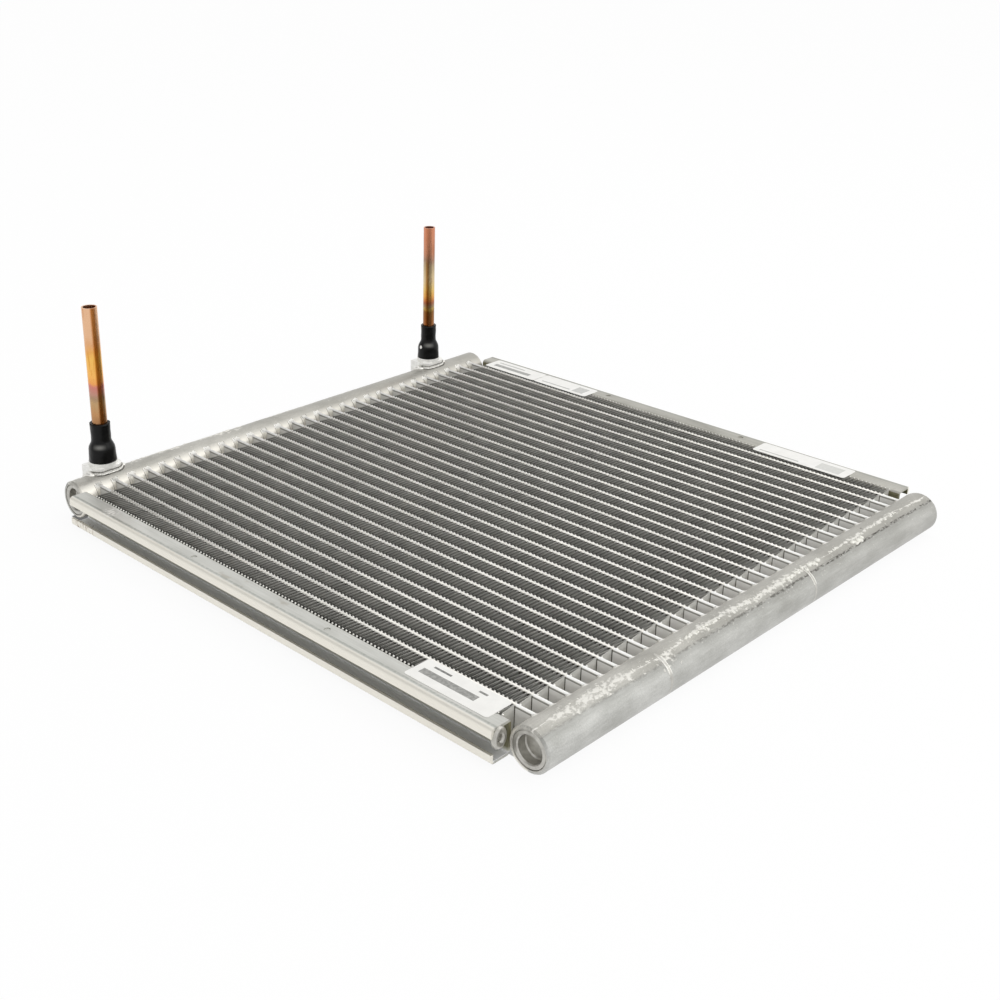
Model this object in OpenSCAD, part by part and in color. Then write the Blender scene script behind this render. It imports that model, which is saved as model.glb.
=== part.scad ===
// Flat-tube condenser coil, lying flat: X runs along the tubes, Y along the headers, Z up.
// The origin is on the floor under the middle of the coil.

/* [Core] */
// Number of flat tubes between the two side rails
tube_count = 29; // [27:1:33]
// Depth of the coil in the direction of the air, the wide side of each tube
tube_w = 16; // [12:0.5:20]
// Thickness of each flat tube
tube_t = 2; // [1.6:0.1:2.4]
// Refrigerant passages side by side in each tube
port_count = 6; // [3:1:8]
// Aluminium left round and between the passages
port_wall = 0.4; // [0.3:0.05:0.5]
// Height of the folded fin between two tubes
fin_h = 8; // [6:0.25:10]
// Thickness of the fin sheet as drawn with its coarser folds
fin_t = 0.5; // [0.3:0.05:0.8]
// Folds drawn in each fin ribbon, where the real strip has about 126
fold_count = 22; // [10:1:30]
// Bare tube between the fins and the header with the ports
bare_port_side = 8.8; // [5:0.1:15]
// Bare tube between the fins and the return header
bare_return_side = 5.2; // [4:0.1:15]

/* [Headers] */
// Bore of the headers beyond the width of the tubes
header_room = 1; // [0.8:0.1:4]
// Wall of the headers
header_wall = 1.5; // [1:0.1:1.5]
// Distance between the two header axes
header_spacing = 311.6; // [290:0.2:360]
// Header that stands out past the outermost fins at each end
header_overhang = 2; // [1.5:0.5:8]
// Bevel on the rim of each header
header_bevel = 0.6; // [0.2:0.1:1]
// Tube length that reaches past the wall, as a share of what the round bore allows
tube_reach = 0.4; // [0.2:0.05:0.8]
// Last tube before each separator in the return header
return_separators = [7, 18];
// Last tube before each separator in the header with the ports
port_separators = [3, 13, 23];
// Thickness of the separators
separator_t = 1.5; // [1:0.1:2]

/* [End caps] */
// Length of the cup-shaped plug in each header end
cap_len = 7; // [5.5:0.5:8]
// Wall of the plug round its cup
cap_wall = 2.45; // [1.5:0.05:3]
// Depth of that cup
cup_depth = 5; // [3:0.25:5]
// Bevel at the mouth and the rim of the plug
cap_bevel = 0.5; // [0.2:0.1:0.8]
// How far the plug sits inside the header's end
cap_inset = 0.2; // [0:0.1:0.6]

/* [Side rails] */
// Depth of the rail from the fins to its outer edge
rail_depth = 11; // [8:0.5:16]
// Sheet thickness of the rail
rail_t = 1.4; // [1:0.1:1.8]
// Height of the turned-in lip at each edge
rail_lip = 4.4; // [3:0.1:5]
// Bend radius at the outer edges
rail_edge_r = 2; // [1.8:0.1:2.6]
// Bend radius at the web
rail_web_r = 1.9; // [1.8:0.1:2.6]
// Space between a rail end and the header beside it
rail_end_gap = 0.8; // [0.4:0.1:3]
// Distance between the fixture dimples as a share of the rail's length
dimple_share = 0.322; // [0.2:0.002:0.8]
// Diameter of the fixture dimples
dimple_d = 3; // [1.5:0.5:4]
// Depth of the fixture dimples
dimple_depth = 0.4; // [0.2:0.1:0.6]

/* [Connections] */
// Distance of the front pipe from the front end of its header
front_pipe_offset = 21.9; // [17:0.1:26]
// Distance of the rear pipe from the rear end of its header
rear_pipe_offset = 36.8; // [32:0.1:52]
// Distance of both pipes from the header axis, towards the outside, as a share of the header's radius
pipe_shift = 0.47; // [0.3:0.01:0.5]
// Outside diameter of the front copper pipe
front_pipe_od = 8; // [7.6:0.1:8.2]
// Outside diameter of the rear copper pipe
rear_pipe_od = 7; // [6.8:0.1:8.2]
// Wall of the copper pipes
pipe_wall = 0.75; // [0.5:0.05:0.75]
// Height of the copper pipes' open ends above the header axis
pipe_top = 98.4; // [70:0.2:140]
// Wall of the aluminium pipe round the copper pipe
joint_wall = 1.75; // [1.2:0.05:1.9]
// Length of the aluminium pipe above the collar
joint_rise = 9; // [8:0.1:14]
// Depth of the copper pipe in the aluminium pipe
joint_depth = 10.5; // [8:0.1:11]
// Width of the connection block across the header
block_w = 13.5; // [13.4:0.1:15]
// Length of the connection block along the header
block_l = 18; // [16:0.5:22]
// Corner radius of the block on the side of the tubes
block_r = 5; // [1:0.5:6]
// Height of the block above the top of the header
block_rise = 2.9; // [2.5:0.1:5]
// Height of the block's lower edge above the header axis
block_foot = 2; // [0:0.5:4]
// Width of the collar round the aluminium pipe
collar_w = 1.7; // [1:0.1:2]
// Height of the collar above the block
collar_rise = 2.2; // [1:0.1:3]
// How far the collar reaches down the sides of the block
collar_drop = 0.6; // [0.2:0.1:1]
// Depth of the aluminium pipe's socket, from the top of the collar
socket_depth = 4.2; // [3:0.1:4.4]
// Hole from the block into the header
port_hole_d = 4.4; // [4:0.2:4.8]

/* [Sleeves] */
// Wall of the shrunk sleeve
sleeve_wall = 1.15; // [0.6:0.05:1.3]
// Length of the sleeve, from the collar up
sleeve_len = 21.2; // [18:0.2:36]
// Length over which the sleeve narrows above the pipe
sleeve_neck = 2.4; // [1.5:0.1:4]
// Extra sleeve radius at the collar
sleeve_flare = 0.3; // [0:0.05:0.4]

/* [Labels] */
// Thickness of the label film
label_t = 0.2; // [0.1:0.05:0.3]
// Corner radius of the labels
label_r = 1.5; // [0.5:0.25:3]
// Length and width of the label over the front rail
front_label = [45, 15];
// Distance of the front label from the right end of the rail
front_label_margin = 6.5; // [2:0.5:60]
// How far the front label lies over the fins
front_label_over = 8.4; // [4:0.2:10]
// Length and width of the label at the right of the rear rail
rear_label = [55.6, 13.2];
// Distance of that label from the right end of the rail
rear_label_margin = 28.6; // [2:0.2:60]
// Length and width of the two labels at the left of the rear rail
left_label = [40.4, 14];
// Distance of the outer left label from the left end of the rail
left_label_margin = 8; // [2:0.2:20]
// Space between the two left labels
left_label_space = 0.4; // [0.2:0.2:10]
// How far the right rear label lies over the fins
rear_label_over = 5.2; // [3:0.2:8]
// How far the left rear labels lie over the fins
left_label_over = 6.6; // [3:0.2:8]

/* [Fits] */
// Brazing gap between pieces that are pushed into one another
fit_gap = 0.05; // [0.03:0.01:0.1]
// Gap left above the fin crests that only touch the next tube
crest_gap = 0.03; // [0.02:0.01:0.1]
// Depth of the braze that joins a fin crest to the tube that carries it
braze_sink = 0.12; // [0.05:0.01:0.2]

/* [Hidden] */
$fn = 64;
bore_r = (tube_w + header_room) / 2;
header_r = bore_r + header_wall;
header_od = 2 * header_r;
axis_z = header_r;
header_x = header_spacing / 2;
tube_pitch = tube_t + fin_h;
core_half = (tube_count - 1) / 2 * tube_pitch + tube_t / 2 + fin_h;
header_half = core_half + header_overhang;
core_top = axis_z + tube_w / 2;
// Half of the wide tube's chord in the bore gives the tube's end
bore_chord = sqrt(bore_r * bore_r - tube_w * tube_w / 4);
tube_half = header_x - bore_chord * (1 - tube_reach);
fin_x0 = -(header_x - header_r - bare_port_side);
fin_x1 = header_x - header_r - bare_return_side;
fold = (fin_x1 - fin_x0) / fold_count;
fold_lift = fin_t / 2 * norm([fold / 2, fin_h]) / (fold / 2);
port_r_end = tube_t / 2;
port_pitch = (tube_w - 2 * port_r_end) / port_count;
port_h = tube_t - 2 * port_wall;
rail_half = header_x - header_r - rail_end_gap;
dimple_x = dimple_share * rail_half;
outer_left_x = -rail_half + left_label_margin;
inner_left_x = outer_left_x + left_label[0] + left_label_space;
front_pipe_y = -header_half + front_pipe_offset;
rear_pipe_y = header_half - rear_pipe_offset;
pipe_x = -header_x - pipe_shift * header_r;
pipe_z1 = axis_z + pipe_top;
block_top = header_od + block_rise;
collar_top = block_top + collar_rise;
joint_z0 = collar_top - socket_depth;
joint_z1 = collar_top + joint_rise;
pipe_z0 = joint_z1 - joint_depth;
sleeve_z1 = collar_top + sleeve_len;
over = 1;

ALUMINIUM = "#c9c7be";
FIN = "#6c6b64";
CAST = "#dcdad2";
COPPER = "#b5694a";
SLEEVE = "#1c1c1b";
PAPER = "#eeeeea";

function tube_name(k) = str("finned_tube_", k < 10 ? "0" : "", k);
function tube_y(k) = (k - (tube_count + 1) / 2) * tube_pitch;
function gap_y(k) = tube_y(k) + tube_pitch / 2;
function flipped(path) = [for (i = [len(path) - 1:-1:0]) path[i]];
function fold_line(low, high) = [
    for (i = [0:2 * fold_count]) [fin_x0 + i * fold / 2, i % 2 == 0 ? low : high]
];

// Places its children with their Z axis along the header, at y
module on_header(side, y) {
    translate([side * header_x, y, axis_z]) rotate([-90, 0, 0]) children();
}

// Outline of a flat tube seen from its end, round at both edges, with a margin for a fit
module tube_outline(margin = 0) {
    r = tube_t / 2 + margin;
    half = tube_w / 2 - tube_t / 2;
    square([2 * half, 2 * r], center = true);
    for (s = [-1, 1]) translate([s * half, 0]) circle(r);
}

// Section of a flat tube with its row of passages
module tube_section() {
    difference() {
        tube_outline();
        for (i = [0:port_count - 1])
            translate([(i + 0.5 - port_count / 2) * port_pitch, 0])
                square([port_pitch - port_wall, port_h], center = true);
    }
}

// A section drawn in X and Y, stood up so that it runs along the tubes from x0 to x1
module along_tubes(x0, x1) {
    translate([x0, 0, axis_z]) rotate([0, 90, 0]) linear_extrude(x1 - x0) children();
}

// Folded strip that lies on a tube face at y = 0 and reaches the next tube at y = fin_h
module fin_ribbon() {
    low = fold_lift - braze_sink;
    high = fin_h - fold_lift - crest_gap;
    path = fold_line(low, high);
    up = [for (p = path) p + [0, fold_lift]];
    down = [for (p = path) p - [0, fold_lift]];
    translate([0, 0, core_top - tube_w]) linear_extrude(tube_w) polygon(concat(up, flipped(down)));
}

// One flat tube with the fin strip brazed to its rear face; the first also has the front strip
module finned_tube(k) {
    color(FIN) translate([0, tube_y(k), 0]) {
        union() {
            along_tubes(-tube_half, tube_half) tube_section();
            translate([0, tube_t / 2, 0]) fin_ribbon();
            if (k == 1) mirror([0, 1, 0]) translate([0, tube_t / 2, 0]) fin_ribbon();
        }
    }
}

// Round header with slots for the tubes, side slots for the separators and holes for the pipes;
// the seam of its wall lies underneath, where nothing is cut into it
module header(side, separators, ports) {
    color(ALUMINIUM) difference() {
        on_header(side, 0) rotate([0, 0, 90]) rotate_extrude() polygon([
            [bore_r, -header_half],
            [header_r - header_bevel, -header_half],
            [header_r, -header_half + header_bevel],
            [header_r, header_half - header_bevel],
            [header_r - header_bevel, header_half],
            [bore_r, header_half]
        ]);
        for (k = [1:tube_count]) translate([0, tube_y(k), 0])
            along_tubes(side > 0 ? header_x - header_r - over : -tube_half - fit_gap,
                side > 0 ? tube_half + fit_gap : -header_x + header_r + over) tube_outline(fit_gap);
        for (k = separators) translate([side * (header_x + header_r), gap_y(k), axis_z])
            cube([2 * header_r, separator_t + 2 * fit_gap, header_od + over], center = true);
        for (y = ports) translate([pipe_x, y, axis_z]) cylinder(d = port_hole_d, h = header_od);
    }
}

module port_header() header(-1, port_separators, [front_pipe_y, rear_pipe_y]);
module return_header() header(1, return_separators, []);

// Cup-shaped plug, with its open side towards the end of the header
module end_cap(side, end) {
    r = bore_r - fit_gap;
    cup_r = r - cap_wall;
    color(CAST) on_header(side, end * (header_half - cap_inset)) mirror([0, 0, end > 0 ? 1 : 0])
        rotate_extrude() polygon([
            [0, cup_depth],
            [cup_r - cap_bevel, cup_depth],
            [cup_r, cup_depth - cap_bevel],
            [cup_r, cap_bevel],
            [cup_r + cap_bevel, 0],
            [r - cap_bevel, 0],
            [r, cap_bevel],
            [r, cap_len],
            [0, cap_len]
        ]);
}

module port_header_front_cap() end_cap(-1, -1);
module port_header_rear_cap() end_cap(-1, 1);
module return_header_front_cap() end_cap(1, -1);
module return_header_rear_cap() end_cap(1, 1);

// Separator disc, whose outer half fills the side slot and ends flush with the header
module separator(side, k) {
    color(CAST) on_header(side, gap_y(k)) {
        cylinder(r = bore_r - fit_gap, h = separator_t, center = true);
        intersection() {
            cylinder(r = header_r, h = separator_t, center = true);
            translate([side * (header_r + fit_gap), 0, 0])
                cube([2 * header_r, 2 * header_od, header_od], center = true);
        }
    }
}

module port_separator_1() separator(-1, port_separators[0]);
module port_separator_2() separator(-1, port_separators[1]);
module port_separator_3() separator(-1, port_separators[2]);
module return_separator_1() separator(1, return_separators[0]);
module return_separator_2() separator(1, return_separators[1]);

// Rectangle from the origin with a bend radius on the web side and one on the outer side
module bent_box(w, h, web_r, edge_r) {
    translate([web_r, 0]) square([w - web_r - edge_r, h]);
    translate([0, web_r]) square([web_r, h - 2 * web_r]);
    translate([w - edge_r, edge_r]) square([edge_r, h - 2 * edge_r]);
    for (y = [web_r, h - web_r]) translate([web_r, y]) circle(web_r);
    for (y = [edge_r, h - edge_r]) translate([w - edge_r, y]) circle(edge_r);
}

// Channel section: web at x = 0, flanges towards +X, lips turned in at the mouth
module rail_section() {
    difference() {
        bent_box(rail_depth, tube_w, rail_web_r, rail_edge_r);
        translate([rail_t, rail_t])
            bent_box(
                rail_depth - 2 * rail_t, tube_w - 2 * rail_t, rail_web_r - rail_t, rail_edge_r - rail_t
            );
        translate([rail_depth - rail_t - over, rail_lip])
            square([rail_t + 2 * over, tube_w - 2 * rail_lip]);
    }
}

// Side rail with its back on the outermost fins and two shallow fixture dimples on top
module rail(end) {
    color(ALUMINIUM) mirror([0, end > 0 ? 0 : 1, 0]) translate([0, core_half, core_top - tube_w])
        difference() {
            translate([-rail_half, 0, 0]) rotate([90, 0, 90])
                linear_extrude(2 * rail_half) rail_section();
            for (x = [-dimple_x, dimple_x]) translate([x, rail_depth / 2, tube_w - dimple_depth])
                cylinder(d = dimple_d, h = over);
        }
}

module front_rail() rail(-1);
module rear_rail() rail(1);

function joint_r(pipe_od) = pipe_od / 2 + fit_gap + joint_wall;

// Outline of the block seen from above, with round corners on the side of the tubes
module block_outline() {
    translate([-block_w / 2, -block_l / 2]) square([block_w - block_r, block_l]);
    translate([-block_w / 2, -block_l / 2 + block_r]) square([block_w, block_l - 2 * block_r]);
    for (s = [-1, 1]) translate([block_w / 2 - block_r, s * (block_l / 2 - block_r)]) circle(block_r);
}

// Block seated on the outer shoulder of the header, with a collar round the pipe's socket
module connection_block(y, pipe_od) {
    collar_z0 = block_top - collar_drop;
    color(CAST) difference() {
        translate([pipe_x, y, 0]) union() {
            translate([0, 0, axis_z + block_foot])
                linear_extrude(block_top - axis_z - block_foot) block_outline();
            translate([0, 0, collar_z0])
                cylinder(r = joint_r(pipe_od) + collar_w, h = collar_top - collar_z0);
        }
        on_header(-1, y) cylinder(r = header_r + fit_gap, h = 2 * block_l, center = true);
        translate([pipe_x, y, joint_z0]) cylinder(r = joint_r(pipe_od) + fit_gap, h = socket_depth + over);
        translate([pipe_x, y, 0]) cylinder(d = port_hole_d, h = block_top);
    }
}

// Aluminium pipe: a narrow way at the bottom and a socket for the copper pipe above it
module joint_pipe(y, pipe_od) {
    color(CAST) translate([pipe_x, y, 0]) difference() {
        translate([0, 0, joint_z0]) cylinder(r = joint_r(pipe_od), h = joint_z1 - joint_z0);
        cylinder(d = port_hole_d, h = joint_z1 + over);
        translate([0, 0, pipe_z0]) cylinder(r = pipe_od / 2 + fit_gap, h = joint_depth + over);
    }
}

module copper_pipe(y, pipe_od) {
    color(COPPER) translate([pipe_x, y, pipe_z0]) difference() {
        cylinder(d = pipe_od, h = pipe_z1 - pipe_z0);
        translate([0, 0, -over]) cylinder(r = pipe_od / 2 - pipe_wall, h = pipe_z1 - pipe_z0 + 2 * over);
    }
}

// Shrunk sleeve over the joint: wide over the aluminium pipe, narrow over the copper
module sleeve(y, pipe_od) {
    wide = joint_r(pipe_od) + fit_gap;
    narrow = pipe_od / 2 + fit_gap;
    color(SLEEVE) translate([pipe_x, y, 0]) rotate_extrude() polygon([
        [wide, collar_top + fit_gap],
        [wide + sleeve_wall + sleeve_flare, collar_top + fit_gap],
        [wide + sleeve_wall, joint_z1 - sleeve_neck / 2],
        [narrow + sleeve_wall, joint_z1 + sleeve_neck],
        [narrow + sleeve_wall, sleeve_z1],
        [narrow, sleeve_z1],
        [narrow, joint_z1 + sleeve_neck],
        [wide, joint_z1 + fit_gap]
    ]);
}

module front_block() connection_block(front_pipe_y, front_pipe_od);
module front_joint_pipe() joint_pipe(front_pipe_y, front_pipe_od);
module front_copper_pipe() copper_pipe(front_pipe_y, front_pipe_od);
module front_sleeve() sleeve(front_pipe_y, front_pipe_od);
module rear_block() connection_block(rear_pipe_y, rear_pipe_od);
module rear_joint_pipe() joint_pipe(rear_pipe_y, rear_pipe_od);
module rear_copper_pipe() copper_pipe(rear_pipe_y, rear_pipe_od);
module rear_sleeve() sleeve(rear_pipe_y, rear_pipe_od);

// Bare label film on the flat top of the core and a rail, with its left end at x0
module label(end, x0, size, lap) {
    w = size[0] - 2 * label_r;
    h = size[1] - 2 * label_r;
    y = end * (core_half - lap + size[1] / 2);
    color(PAPER) translate([x0 + size[0] / 2, y, core_top]) linear_extrude(label_t) {
        square([size[0], h], center = true);
        square([w, size[1]], center = true);
        for (sx = [-1, 1], sy = [-1, 1]) translate([sx * w / 2, sy * h / 2]) circle(label_r);
    }
}

module front_label()
    label(-1, rail_half - front_label_margin - front_label[0], front_label, front_label_over);
module rear_label()
    label(1, rail_half - rear_label_margin - rear_label[0], rear_label, rear_label_over);
module outer_left_label() label(1, outer_left_x, left_label, left_label_over);
module inner_left_label() label(1, inner_left_x, left_label, left_label_over);

port_header();
return_header();
port_header_front_cap();
port_header_rear_cap();
return_header_front_cap();
return_header_rear_cap();
port_separator_1();
port_separator_2();
port_separator_3();
return_separator_1();
return_separator_2();
front_rail();
rear_rail();
front_block();
front_joint_pipe();
front_copper_pipe();
front_sleeve();
rear_block();
rear_joint_pipe();
rear_copper_pipe();
rear_sleeve();
front_label();
rear_label();
outer_left_label();
inner_left_label();
for (k = [1:tube_count]) finned_tube(k);
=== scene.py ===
"""Dresses the flat-tube condenser coil: full-pitch fins, braze, residue, heat tint and studio light."""
import bpy
import bmesh
import math
import random
from mathutils import Matrix, Vector, noise


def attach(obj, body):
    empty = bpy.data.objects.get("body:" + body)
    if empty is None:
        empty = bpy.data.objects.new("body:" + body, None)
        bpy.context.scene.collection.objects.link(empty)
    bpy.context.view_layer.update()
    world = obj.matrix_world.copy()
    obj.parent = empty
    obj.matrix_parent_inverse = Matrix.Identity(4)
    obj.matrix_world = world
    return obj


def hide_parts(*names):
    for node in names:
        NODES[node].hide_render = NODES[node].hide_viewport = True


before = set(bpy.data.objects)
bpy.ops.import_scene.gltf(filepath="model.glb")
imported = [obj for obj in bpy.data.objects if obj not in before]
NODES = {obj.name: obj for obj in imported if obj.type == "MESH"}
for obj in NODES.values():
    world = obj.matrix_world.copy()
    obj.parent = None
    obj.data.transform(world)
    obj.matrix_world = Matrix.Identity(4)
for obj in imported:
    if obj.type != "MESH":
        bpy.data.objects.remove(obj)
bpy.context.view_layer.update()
MM = 0.001

# Light of the room on the coil, where 1 is white, and the direction of its dim corner
ROOM_LEVEL = 1.0
DIM_CORNER = (-0.62, -0.42, 0.66)

# Sizes in millimetres, the same as the solids
HEADER_X = 155.8
HEADER_R = 10.0
HEADER_HALF = 151.0
BORE_R = 8.5
AXIS_Z = 10.0
TUBE_COUNT = 29
TUBE_W = 16.0
TUBE_T = 2.0
FIN_H = 8.0
PITCH = TUBE_T + FIN_H
CORE_LOW = AXIS_Z - TUBE_W / 2
CORE_TOP = AXIS_Z + TUBE_W / 2
TUBE_HALF = 154.1
CORE_HALF = 149.0
FIN_X0 = -137.0
FIN_X1 = 140.6
PIPE_X = -160.5
PIPES = {"front": (-129.1, 8.0), "rear": (114.2, 7.0)}
BLOCK_W = 13.5
BLOCK_L = 18.0
BLOCK_R = 5.0
JOINT_WALL = 1.8
COLLAR_TOP = 25.1
SLEEVE_TOP = 46.3
SLEEVE_WALL = 1.15

# The fin ribbon with all its folds, where the solids have fewer
FIN_WAVES = 126
FIN_SHEET = 0.13
# Heights up a fold: the part that stands still where fins were knocked, and the first step that bends
FIN_STILL = 10.0
FIN_BENT = 3.6
# From the ridge of a louvre to the groove after it
LOUVRE_GAP = 1.2
# Braze drawn to the crest of each fold, at the top of the tube beside it
CREST_BEAD = 0.55
# Material slots of a finned tube
TUBE_SLOT, LIT_SLOT, SHADED_SLOT, LIT_END_SLOT, BRAZE_SLOT = range(5)

# The fillets round the tube ends are that much wider and longer at the port header
PORT_WIDER = 2.2
PORT_LONGER = 3.4
# The weld runs that far outwards along both sides of a block, from its inner face
WELD_RUN = 11.5

# Flux crumbs on the headers: y, degrees past the top, spread in y and in degrees, how many, size
PORT_CLUSTERS = [
    (-95.0, 25.0, 18.0, 6.0, 44, 0.8), (-52.0, 15.0, 9.0, 8.0, 20, 1.0),
    (-20.0, 22.0, 20.0, 5.0, 16, 0.45), (40.0, 22.0, 24.0, 5.0, 14, 0.45),
    (140.0, 18.0, 8.0, 8.0, 6, 0.5), (-146.0, 20.0, 4.0, 12.0, 8, 0.5),
]
RETURN_CLUSTERS = [
    (80.0, 23.0, 6.0, 5.0, 12, 1.2), (40.0, 13.0, 7.0, 8.0, 20, 1.3), (26.0, 9.0, 8.0, 6.0, 14, 1.0),
    (-45.0, 10.0, 22.0, 6.0, 30, 0.8), (118.0, 11.0, 8.0, 4.0, 10, 0.8), (98.0, 10.0, 10.0, 4.0, 10, 0.5),
    (62.0, 10.0, 12.0, 5.0, 12, 0.5), (0.0, 10.0, 16.0, 4.0, 12, 0.5), (-85.0, 9.0, 18.0, 4.0, 12, 0.45),
    (-120.0, -4.0, 16.0, 6.0, 9, 0.45),
]

# Where the separators come through the return header
SEPARATOR_Y = (-75.0, 35.0)
# Lines along the headers, in radians past the top: the strip of painted shade, and the pits
HEADER_SHADE_LINE = 0.7
PIT_LINE = 0.575
# A pin hole beside the flux line
PIN_HOLE = (155.0, 91.7, 20.0)
# On the rails: the line of painted shade before the lip, where the lip starts, a height that clears the
# lower lip, and the sheet's skin
BEND_SHADE_Y = 157.3
LIP_Y = 158.0
LIP_HIGH = 5.0
RAIL_SKIN = 1.2
# A blot of braze and a rubbed rust spot on the front rail
BRAZE_BLOT = (-115.0, -155.0, 18.0)
RUST_SPOT = (-134.0, -160.0, 3.5)
# The lobe at the right end of the front rail's upper lip
LOBE_AT = (144.9, -155.7, 12.7)
LOBE_REACH = 2.5
LOBE_R = 1.35
# Height of the sleeves' shoulders, and a white spot on the rear one
SHOULDER_Z = 34.0
WHITE_SPOT = (-161.0, 107.6, 32.5)
# The way across the copper pipes toward the camera's right, along which a strip of painted shade is
# placed, and the heights between which the smoke sets in
SHADE_STRIP_WAY = (0.69, 0.72, 0.0)
SMOKE_LOW = 66.0
SMOKE_HIGH = 76.0

# Fins knocked over in handling: x, y, reach along x, reach along y, push along x
DENTS = [
    (-106.0, -72.0, 1.6, 62.0, 0.75), (-103.0, -130.0, 2.2, 9.0, 1.5), (-35.5, -144.0, 1.6, 2.6, 2.0),
    (126.0, -122.5, 1.3, 2.2, 1.6), (-122.0, -141.0, 9.0, 3.0, 0.9), (8.0, -116.0, 6.0, 5.0, 0.9),
    (22.0, -124.0, 2.0, 3.5, 1.7), (88.0, 97.0, 5.0, 12.0, 0.7), (64.0, -6.0, 1.6, 3.0, 1.3),
    (-132.0, -86.0, 1.6, 3.0, 1.3), (113.0, -32.0, 1.2, 55.0, 0.45), (-60.0, 40.0, 1.4, 9.0, 0.8),
    (30.0, 62.0, 1.3, 14.0, 0.6), (-90.0, 96.0, 1.5, 8.0, 0.8), (101.0, -96.0, 1.5, 4.0, 1.0),
]

# Camera solved from the photograph's own edges: focal length and middle in pixels of its 1000, place in
# metres, and azimuth and elevation in degrees
FOCAL_PX = 1387.95
MIDDLE_PX = (398.29, 479.33)
CAMERA_AT = (0.4324, -0.4862, 0.3101)
CAMERA_WAY = (45.94, 23.74)


def linear(code):
    """sRGB hex colour as linear RGBA."""
    parts = [int(code[i:i + 2], 16) / 255 for i in (1, 3, 5)]
    return tuple(c / 12.92 if c <= 0.04045 else ((c + 0.055) / 1.055) ** 2.4 for c in parts) + (1.0,)


# The kinds of node: Blender's name, the settings, the sockets that values fill in turn, and the output
# taken, or None for all of them. Any other kind is the operation of a Math node.
KINDS = {
    "PLACE": ("TexCoord", {}, (), "Object"),
    "WAY": ("TexCoord", {}, (), "Generated"),
    "PATH": ("LightPath", {}, (), None),
    "AXES": ("SeparateXYZ", {}, (0,), None),
    "SCALED": ("Mapping", {}, ("Vector", "Scale"), 0),
    "SPOTS": ("TexNoise", {}, ("Vector", "Scale", "Detail"), 0),
    "STEPS": ("TexWave", {"bands_direction": "Z"}, ("Vector", "Scale", "Distortion"), "Fac"),
    "RANGE": ("MapRange", {}, (0, 1, 2, 3, 4), 0),
    "RAMP": ("ValToRGB", {}, (0,), 0),
    "MIX": ("Mix", {"data_type": "RGBA"}, (0, 6, 7), 2),
    "DEEPEN": ("Mix", {"data_type": "RGBA", "blend_type": "MULTIPLY"}, (0, 6, 7), 2),
    "BUMP": ("Bump", {}, ("Height", "Strength", "Distance", "Normal"), 0),
    "APART": ("VectorMath", {"operation": "DISTANCE"}, (0, 1), "Value"),
    "FROM": ("VectorMath", {"operation": "SUBTRACT"}, (0, 1), 0),
    "ALONG": ("VectorMath", {"operation": "DOT_PRODUCT"}, (0, 1), "Value"),
    "GLOW": ("Emission", {}, (0, 1), 0),
    "SHARE": ("MixShader", {}, (0, 1, 2), 0),
}


def join(tree, socket, value):
    """Links a socket to an output, or sets it to a number, a vector or a hex colour."""
    if isinstance(value, bpy.types.NodeSocket):
        tree.links.new(value, socket)
    else:
        socket.default_value = linear(value) if isinstance(value, str) else value


def add(tree, kind, *values, stops=()):
    """A node with its settings, its sockets joined to the values, and the colour stops of a ramp."""
    name, settings, sockets, output = KINDS.get(kind) or ("Math", {"operation": kind}, (0, 1), 0)
    node = tree.nodes.new("ShaderNode" + name)
    for setting, value in settings.items():
        setattr(node, setting, value)
    for key, value in zip(sockets, values):
        join(tree, node.inputs[key], value)
    marks = node.color_ramp.elements if stops else ()
    while len(marks) < len(stops):
        marks.new(0.5)
    for mark, (place, code) in zip(marks, stops):
        mark.position = place
        mark.color = linear(code)
    return node.outputs if output is None else node.outputs[output]


def wire(tree, shader, **sockets):
    """Joins the shader's sockets, named with underscores for spaces."""
    for key, value in sockets.items():
        join(tree, shader.inputs[key.replace("_", " ")], value)


def start(name):
    """A new material: its tree, its shader and the object coordinates in metres."""
    mat = bpy.data.materials.new(name)
    mat.use_nodes = True
    tree = mat.node_tree
    return mat, tree, tree.nodes["Principled BSDF"], add(tree, "PLACE")


def grain(tree, place, size, detail=3.0, stretch=(1, 1, 1)):
    """Spots about size millimetres wide, longer where stretch is more than 1."""
    scaled = add(tree, "SCALED", place, [1 / (size * MM * s) for s in stretch])
    return add(tree, "SPOTS", scaled, 1.0, detail)


def weighed(tree, *pairs):
    """Sum of patterns, each times its weight."""
    total = 0.0
    for pattern, weight in pairs:
        total = add(tree, "ADD", add(tree, "MULTIPLY", pattern, weight), total)
    return total


def off_line(tree, value, line):
    """How far a value is from a line."""
    return add(tree, "ABSOLUTE", add(tree, "SUBTRACT", value, line))


def between(tree, value, low, high):
    """1 where a value in metres lies between two places in millimetres, 0 elsewhere."""
    return add(tree, "MULTIPLY", add(tree, "GREATER_THAN", value, low * MM),
               add(tree, "LESS_THAN", value, high * MM))


def near(tree, place, point, inner, outer):
    """1 within inner millimetres of a point, falling to 0 at outer millimetres."""
    far = add(tree, "APART", place, [c * MM for c in point])
    return add(tree, "RANGE", far, inner * MM, outer * MM, 1.0, 0.0)


def box_mask(tree, place, x0, x1, y0, y1):
    """1 inside a rectangle given in millimetres, 0 outside."""
    x, y, _ = add(tree, "AXES", place)
    return add(tree, "MULTIPLY", between(tree, x, x0, x1), between(tree, y, y0, y1))


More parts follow.
